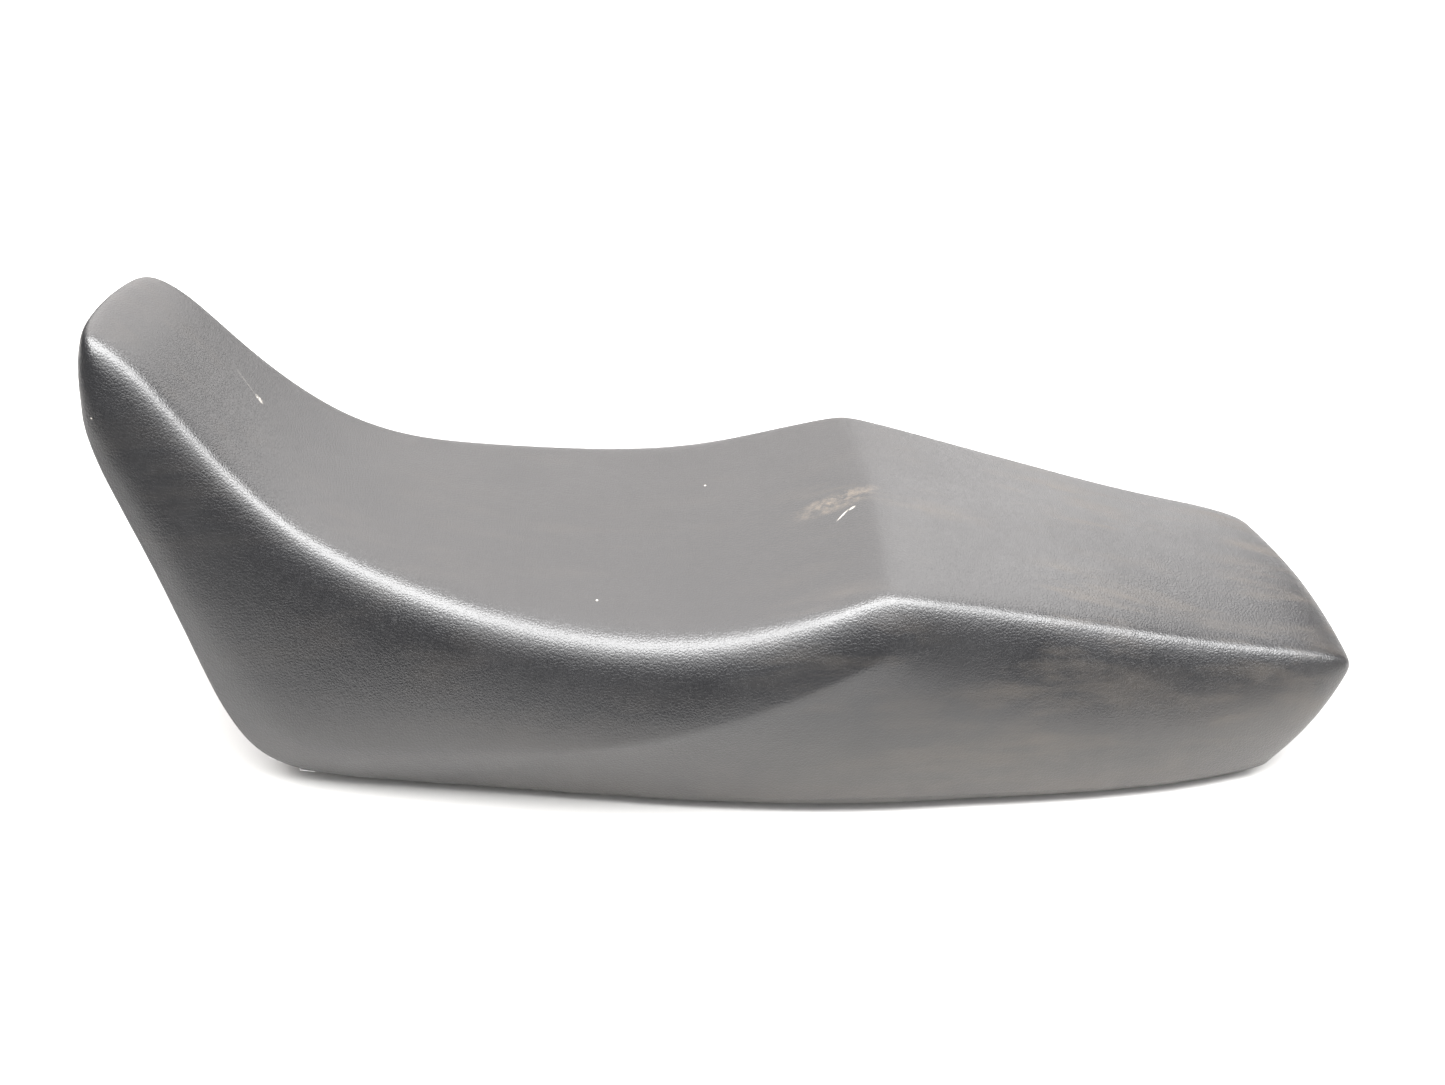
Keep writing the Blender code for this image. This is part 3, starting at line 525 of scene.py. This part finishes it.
# %% Material helpers
class Recipe:
    """A material whose nodes are added one line at a time."""

    def __init__(self, name, metallic=0.0):
        self.material = bpy.data.materials.new(name)
        self.material.use_nodes = True
        self.tree = self.material.node_tree
        self.shader = self.tree.nodes["Principled BSDF"]
        self.shader.inputs["Metallic"].default_value = metallic
        self.place = self.tree.nodes.new("ShaderNodeTexCoord").outputs["Object"]

    def node(self, kind, inputs=None, **settings):
        made = self.tree.nodes.new(kind)
        for key, value in settings.items():
            setattr(made, key, value)
        for key, value in (inputs or {}).items():
            self.feed(made.inputs[key], value)
        return made

    def feed(self, socket, value):
        if isinstance(value, bpy.types.NodeSocket):
            self.tree.links.new(value, socket)
        else:
            socket.default_value = value

    def mapped(self, scale, turn=(0.0, 0.0, 0.0), shift=(0.0, 0.0, 0.0), vector=None):
        made = self.node("ShaderNodeMapping", {"Vector": vector or self.place})
        made.inputs["Scale"].default_value = scale
        made.inputs["Rotation"].default_value = turn
        made.inputs["Location"].default_value = shift
        return made.outputs[0]

    def noise(self, scale, detail=3.0, rough=0.5, vector=None):
        inputs = {"Vector": vector or self.place, "Scale": scale, "Detail": detail, "Roughness": rough}
        return self.node("ShaderNodeTexNoise", inputs).outputs["Fac"]

    def cells(self, scale, feature="DISTANCE_TO_EDGE", vector=None):
        inputs = {"Vector": vector or self.place, "Scale": scale}
        return self.node("ShaderNodeTexVoronoi", inputs, feature=feature).outputs["Distance"]

    def between(self, value, low, high, to_low=0.0, to_high=1.0):
        """Value from low to high becomes to_low to to_high, held at both ends."""
        inputs = {0: value, 1: low, 2: high, 3: to_low, 4: to_high}
        return self.node("ShaderNodeMapRange", inputs).outputs[0]

    def maths(self, operation, first, second=0.0):
        return self.node("ShaderNodeMath", {0: first, 1: second}, operation=operation).outputs[0]

    def mix(self, share, first, second):
        made = self.node("ShaderNodeMix", data_type="RGBA")
        self.feed(made.inputs[0], share)
        self.feed(made.inputs[6], first)
        self.feed(made.inputs[7], second)
        return made.outputs[2]

    def spot(self, place, size, turn=(0.0, 0.0, 0.0)):
        """1 inside an ellipsoid of these half sizes at this place, falling to 0 at its edge."""
        made = self.node("ShaderNodeMapping", {"Vector": self.place}, vector_type="TEXTURE")
        made.inputs["Location"].default_value = place
        made.inputs["Rotation"].default_value = turn
        made.inputs["Scale"].default_value = size
        length = self.node("ShaderNodeVectorMath", {0: made.outputs[0]}, operation="LENGTH")
        far = length.outputs["Value"]
        return self.between(far, 0.45, 1.0, 1.0, 0.0)

    def bump(self, height, strength, distance, under=None):
        inputs = {"Height": height, "Strength": strength, "Distance": distance}
        if under is not None:
            inputs["Normal"] = under
        return self.node("ShaderNodeBump", inputs).outputs[0]

    def finish(self, **inputs):
        for name, value in inputs.items():
            self.feed(self.shader.inputs[name.replace("_", " ")], value)
        return self.material


print("helpers ready")

# %% [markdown]
# ## Grained vinyl
#
# The grain is a cell pattern about two millimetres across with rounded tops, bent by noise so no
# two cells match, and a finer grain over it. Low on the sides, less at the nose, a lighter grey tone
# is partly dust and partly a painted reflection of the pale table. Handling leaves its own marks:
# brown dust in faint streaks, a rubbed place on the step with a small tear, a scratch on the nose and
# a few pale specks. The rub, the tear and the scratch are each given by a place, half sizes and a
# turn.

# %% The vinyl's marks and colours
RUB = ((0.058, -0.008, 0.149), (0.034, 0.012, 0.02), (0.0, -0.2, 0.30))
TEAR = ((0.0664, -0.0204, 0.1512), (0.0034, 0.0011, 0.01), (0.0, 0.0, 0.7))
TEAR_TAIL = ((0.060, -0.026, 0.150), (0.008, 0.0008, 0.01), (0.0, 0.0, 0.9))
SCRATCH = ((-0.3065, 0.0199, 0.224), (0.0145, 0.0006, 0.02), (0.0, 0.90, -0.59))
SCRATCH_END = ((-0.2990, 0.0150, 0.2148), (0.0042, 0.0020, 0.01), (0.0, 0.90, -0.59))
SPECKS = (
    (-0.0904, -0.0870, 0.1294),
    (-0.0243, 0.0496, 0.1314),
    (0.0001, -0.1385, 0.0955),
    (0.0915, -0.1284, 0.1155),
    (-0.3653, -0.0626, 0.2395),
    (-0.2960, -0.0560, 0.2060),
)
SPECK_SIZE = (0.0009, 0.0009, 0.0009)
BLACK = ((0.006, 0.006, 0.007, 1), (0.010, 0.010, 0.011, 1))
# Partly dust and partly a painted reflection of the pale table: the lighter grey low on the sides.
DUST_AND_PAINTED_GLOW = (0.048, 0.043, 0.038, 1)
BROWN_DUST = (0.150, 0.120, 0.088, 1)
RUBBED = (0.30, 0.23, 0.16, 1)
BARE_CLOTH = (0.62, 0.58, 0.52, 1)
GRAIN_CELLS = 500.0
GRAIN_BEND = (0.0022, 0.0022, 0.0022)
GRAIN_STRENGTH = 0.40
GRAIN_HEIGHT = 0.00022
SHEEN = 0.80


def vinyl_material():
    vinyl = Recipe("grained_vinyl")
    bend = vinyl.node("ShaderNodeTexNoise", {"Vector": vinyl.place, "Scale": 160.0}).outputs["Color"]
    nudge = vinyl.node("ShaderNodeVectorMath", {0: bend, 1: GRAIN_BEND}, operation="MULTIPLY")
    bent = vinyl.node("ShaderNodeVectorMath", {0: vinyl.place, 1: nudge.outputs[0]}, operation="ADD")
    pebble = vinyl.between(vinyl.cells(GRAIN_CELLS, vector=bent.outputs[0]), 0.0, 0.26)
    fine = vinyl.noise(1500.0, 2.0)
    relief = vinyl.maths("ADD", pebble, vinyl.maths("MULTIPLY", fine, 0.5))
    grain = vinyl.bump(relief, GRAIN_STRENGTH, GRAIN_HEIGHT)
    soft = vinyl.bump(vinyl.noise(38.0, 4.0, 0.6), 0.10, 0.004, grain)
    streak = vinyl.noise(1.0, 5.0, 0.6, vinyl.mapped((7.0, 62.0, 40.0), (0.0, 0.0, 0.30)))
    cloud = vinyl.noise(9.0, 3.0)
    along, _, height = vinyl.node("ShaderNodeSeparateXYZ", {0: vinyl.place}).outputs
    dust = vinyl.maths("MULTIPLY", vinyl.between(streak, 0.50, 0.72), vinyl.between(cloud, 0.38, 0.62))
    dust = vinyl.maths("MULTIPLY", dust, vinyl.between(along, -0.05, 0.14, 0.25, 1.0))
    patchy = vinyl.between(vinyl.noise(120.0, 5.0, 0.7), 0.42, 0.66)
    rub = vinyl.maths("MULTIPLY", vinyl.spot(*RUB), patchy)
    tear = vinyl.maths("MAXIMUM", vinyl.spot(*TEAR), vinyl.spot(*TEAR_TAIL))
    pale = vinyl.maths("MULTIPLY", tear, 0.4)
    line = vinyl.maths("MULTIPLY", vinyl.spot(*SCRATCH), 0.22)
    cut = vinyl.maths("MAXIMUM", line, vinyl.spot(*SCRATCH_END))
    broken = vinyl.maths("MULTIPLY", vinyl.between(vinyl.noise(700.0, 2.0), 0.40, 0.55), 0.45)
    pale = vinyl.maths("MAXIMUM", pale, vinyl.maths("MULTIPLY", cut, broken))
    for place in SPECKS:
        pale = vinyl.maths("MAXIMUM", pale, vinyl.spot(place, SPECK_SIZE))
    # Painted reflection and dust: the sides turn lighter grey towards the hem, less at the nose, partly
    # standing for the pale table they mirror.
    low = vinyl.between(height, 0.012, 0.085, 1.0, 0.0)
    uneven = vinyl.between(vinyl.noise(16.0, 5.0, 0.6), 0.25, 0.65, 0.35, 1.0)
    dust_and_painted_glow = vinyl.maths("MULTIPLY", low, uneven)
    dust_and_painted_glow = vinyl.maths("MULTIPLY", dust_and_painted_glow, vinyl.between(along, -0.30, -0.10, 0.2, 1.0))
    base = vinyl.mix(vinyl.noise(26.0, 5.0), *BLACK)
    base = vinyl.mix(dust_and_painted_glow, base, DUST_AND_PAINTED_GLOW)
    base = vinyl.mix(vinyl.maths("MULTIPLY", dust, 0.20), base, BROWN_DUST)
    base = vinyl.mix(vinyl.maths("MULTIPLY", rub, 0.24), base, RUBBED)
    base = vinyl.mix(pale, base, BARE_CLOTH)
    worn = vinyl.between(vinyl.noise(14.0, 6.0, 0.6), 0.35, 0.65, 0.30, 0.38)
    rough = vinyl.maths("ADD", worn, vinyl.maths("MULTIPLY", dust, 0.14))
    return vinyl.finish(Base_Color=base, Roughness=rough, Normal=soft, Specular_IOR_Level=SHEEN)


vinyl = vinyl_material()
print("vinyl:", len(vinyl.node_tree.nodes), "nodes")

# %% [markdown]
# ## Foam, moulded plastic, metal and rubber
#
# The foam is cream with open pores. The pan has the fine spark texture of an injection mould. The
# pressed steel is zinc plated, a little yellow and cloudy, the screws are darker, the inserts are
# brass, and the rubber parts are matt with dust in the surface.


# %% The other finishes
def foam_material():
    foam = Recipe("open_foam")
    pores = foam.between(foam.cells(650.0, "F1"), 0.15, 0.75)
    base = foam.mix(foam.noise(22.0, 4.0), (0.60, 0.52, 0.32, 1), (0.70, 0.63, 0.44, 1))
    return foam.finish(Base_Color=base, Roughness=0.95, Normal=foam.bump(pores, 0.6, 0.0006))


def plastic_material():
    plastic = Recipe("moulded_plastic")
    spark = plastic.noise(1300.0, 3.0, 0.65)
    base = plastic.mix(plastic.noise(30.0, 5.0), (0.020, 0.020, 0.021, 1), (0.034, 0.034, 0.034, 1))
    rough = plastic.between(plastic.noise(60.0, 4.0), 0.3, 0.7, 0.48, 0.62)
    return plastic.finish(Base_Color=base, Roughness=rough, Normal=plastic.bump(spark, 0.25, 0.0002))


def metal_material(name, light, dark, roughest, scale):
    metal = Recipe(name, metallic=1.0)
    cloud = metal.noise(scale, 5.0, 0.6)
    base = metal.mix(metal.between(cloud, 0.35, 0.65), dark, light)
    rough = metal.between(metal.noise(scale * 3.0, 4.0), 0.3, 0.7, roughest - 0.14, roughest)
    drawn = metal.noise(1.0, 3.0, 0.6, metal.mapped((60.0, 1400.0, 1400.0)))
    return metal.finish(Base_Color=base, Roughness=rough, Normal=metal.bump(drawn, 0.12, 0.0001))


def rubber_material(name, shade):
    rubber = Recipe(name)
    bloom = rubber.maths("MULTIPLY", rubber.between(rubber.noise(90.0, 5.0, 0.7), 0.45, 0.75), 0.5)
    base = rubber.mix(bloom, (shade, shade, shade, 1), (0.07, 0.068, 0.064, 1))
    relief = rubber.bump(rubber.noise(900.0), 0.3, 0.0002)
    return rubber.finish(Base_Color=base, Roughness=0.82, Normal=relief)


foam_finish = foam_material()
plastic = plastic_material()
zinc = metal_material("zinc_plate", (0.66, 0.64, 0.56, 1), (0.50, 0.48, 0.42, 1), 0.46, 45.0)
screw_metal = metal_material("screw_metal", (0.46, 0.46, 0.46, 1), (0.34, 0.34, 0.34, 1), 0.42, 120.0)
brass = metal_material("insert_brass", (0.74, 0.55, 0.24, 1), (0.62, 0.44, 0.18, 1), 0.42, 140.0)
staple_metal = metal_material("staple_metal", (0.72, 0.72, 0.72, 1), (0.52, 0.52, 0.52, 1), 0.38, 200.0)
foot_rubber = rubber_material("foot_rubber", 0.018)
pad_rubber = rubber_material("pad_rubber", 0.035)
print("finishes ready")

# %% [markdown]
# ## The staple row as plain geometry
#
# The tree needs its inputs by their own identifiers before it first runs. Its result is kept as an
# ordinary mesh, so nothing has to be worked out again when the piece is moved or exported.

# %% Run the staple tree and keep its result as a plain mesh
staple = new_object("staple_pattern", staple_mesh())
staple.hide_render = True
staple_drive = new_object("staple_row_drive", line_curve)
row = staple_drive.modifiers.new("row", "NODES")
row.node_group = staple_tree(staple, staple_metal)
settings = {"Pitch": STAPLE_PITCH, "Turn": STAPLE_TURN, "Seed": STAPLE_SEED}
for item in row.node_group.interface.items_tree:
    if item.in_out == "INPUT" and item.name in settings:
        row[item.identifier] = settings[item.name]
staple_made = evaluated(staple_drive)
staples = new_object("lap_staples", staple_made)
bpy.data.objects.remove(staple_drive)
bpy.data.objects.remove(staple)
print("staples:", len(staple_made.polygons), "faces")

# %% [markdown]
# ## Put the pieces on the frame
#
# The new cover and foam stand for their plain CAD solids. Everything else keeps its CAD mesh and
# gets a finish, and the pressed steel gets the small rounded edge that a press leaves.

# %% Finishes and rides
EDGE_ROUND = 0.0004
SHARPEST_LEFT_ALONE = math.radians(40)

cover.data.materials.clear()
cover.data.materials.append(vinyl)
foam.data.materials.clear()
foam.data.materials.append(foam_finish)
for piece, node, slot in ((cover, "seat_cover", "cover_vinyl"), (foam, "foam_cushion", "seat_foam")):
    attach(piece, "root")
    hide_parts(node)
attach(staples, "root")


def finish_for(name):
    if name == "seat_pan":
        return plastic
    if name.startswith("bumper"):
        return foot_rubber
    if name.startswith("tank_pad"):
        return pad_rubber
    if "insert" in name:
        return brass
    if "screw" in name:
        return screw_metal
    return zinc


kept = [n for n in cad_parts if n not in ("seat_cover", "foam_cushion")]
for name in kept:
    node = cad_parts[name]
    node.data.materials.clear()
    node.data.materials.append(finish_for(name))
    if finish_for(name) is zinc and name != "striker_loop":
        edge = node.modifiers.new("pressed_edge", "BEVEL")
        edge.width = EDGE_ROUND
        edge.segments = 2
        edge.limit_method = "ANGLE"
        edge.angle_limit = SHARPEST_LEFT_ALONE
print(len(kept), "CAD pieces finished")

# %% [markdown]
# ## The soft pieces
#
# The cover is cut from a flat rectangle of vinyl, narrowing at both ends, and it is held stretched
# over the foam with the staples going along. The foam fills its cover.

# %% [markdown]
# ## Floor, light and camera
#
# The seat lies on a wide pale table under soft light. A long softbox above it draws the highlight
# along the shoulder, and a weaker one in front spreads that highlight down the wall. The top mirrors
# a warm ceiling and a wide warm panel behind, with a small panel on the right to part the two slopes
# of the step. The table is pale under the seat. Far behind it the table is painted lighter, a painted
# light that keeps it white where the lamps reach less, and in front of it the table is painted almost
# black, a painted shade that stands for the unlit room. So the side facing the camera is light low
# down, where it mirrors the table, and dark above, where it mirrors the painted shade.

# %% Floor
FLOOR_HALF = 14.0
UNDER_SEAT = ((0.39, 0.385, 0.38, 1), (0.43, 0.425, 0.42, 1))
# Painted light: the far table is painted much lighter so it stays white where the lamps reach less.
FAR_FLOOR_PAINTED_LIGHT = (0.86, 0.86, 0.86, 1)
# Painted shade: the table in front is painted almost black, standing for the unlit room that the upper
# side mirrors.
FRONT_PAINTED_SHADE = (0.06, 0.06, 0.06, 1)

floor_shape = bmesh.new()
bmesh.ops.create_grid(floor_shape, x_segments=1, y_segments=1, size=FLOOR_HALF)
floor_mesh = bpy.data.meshes.new("floor")
floor_shape.to_mesh(floor_mesh)
floor_shape.free()
floor = new_object("floor", floor_mesh)
pale = Recipe("table_with_painted_light")
near = pale.mix(pale.noise(3.0, 6.0), *UNDER_SEAT)
depth = pale.node("ShaderNodeSeparateXYZ", {0: pale.place}).outputs[1]
# Painted light: from 0.25 m behind the seat the table turns to the lighter far colour.
floor_tone_painted_light_and_shade = pale.mix(pale.between(depth, 0.25, 1.1), near, FAR_FLOOR_PAINTED_LIGHT)
# Painted shade: in front of -0.33 m the table turns almost black.
floor_tone_painted_light_and_shade = pale.mix(pale.between(depth, -0.50, -0.33, 1.0, 0.0), floor_tone_painted_light_and_shade, FRONT_PAINTED_SHADE)
floor_mesh.materials.append(pale.finish(Base_Color=floor_tone_painted_light_and_shade, Roughness=0.7))
print("floor", 2 * FLOOR_HALF, "m wide")

# %% Lights
WHITE = (1.0, 1.0, 1.0)
WARM = (1.0, 0.965, 0.940)
ROOM_LIGHT = 0.12


def softbox(name, place, aim, width, height, power, color=WHITE):
    light = bpy.data.lights.new(name, "AREA")
    light.shape = "RECTANGLE"
    light.size = width
    light.size_y = height
    light.energy = power
    light.color = color
    obj = new_object(name, light)
    obj.location = place
    obj.rotation_euler = (Vector(aim) - Vector(place)).to_track_quat("-Z", "Y").to_euler()
    return obj


softbox("softbox_above", (0.45, -0.38, 1.35), (0.45, -0.12, 0.1), 3.3, 0.85, 142.0)
softbox("softbox_front", (0.45, -1.10, 1.10), (0.45, -0.12, 0.1), 3.3, 0.85, 30.0)
softbox("ceiling", (0.0, 0.95, 2.30), (0.0, 0.5, 0.0), 4.6, 2.2, 86.0, WARM)
softbox("panel_behind", (0.0, 3.7, 2.5), (0.0, 0.0, 0.8), 7.4, 4.2, 226.0, WARM)
softbox("panel_right", (1.7, 2.6, 1.9), (0.1, 0.0, 0.2), 1.5, 2.6, 14.0)
world = bpy.data.worlds.new("room")
world.use_nodes = True
world.node_tree.nodes["Background"].inputs["Color"].default_value = (*WHITE, 1.0)
world.node_tree.nodes["Background"].inputs["Strength"].default_value = ROOM_LIGHT
bpy.context.scene.world = world
bpy.context.scene.view_settings.view_transform = "Standard"
print("five softboxes and a dim room")

# %% Camera
CAMERA_PLACE = Vector((-0.0368, -0.727, 0.549))
CAMERA_RIGHT = Vector((0.99951, -0.03137, 0.0))
CAMERA_DOWN = Vector((-0.01606, -0.51179, -0.85896))
CAMERA_AHEAD = Vector((0.02695, 0.85854, -0.51204))
LENS = 32.39

lens = bpy.data.cameras.new("camera")
lens.lens = LENS
lens.sensor_width = 36.0
lens.clip_start = 0.05
camera = new_object("camera", lens)
axes = Matrix((CAMERA_RIGHT, -CAMERA_DOWN, -CAMERA_AHEAD)).transposed().to_4x4()
camera.matrix_world = Matrix.Translation(CAMERA_PLACE) @ axes
bpy.context.scene.camera = camera
print("camera at", [round(v, 3) for v in camera.location])
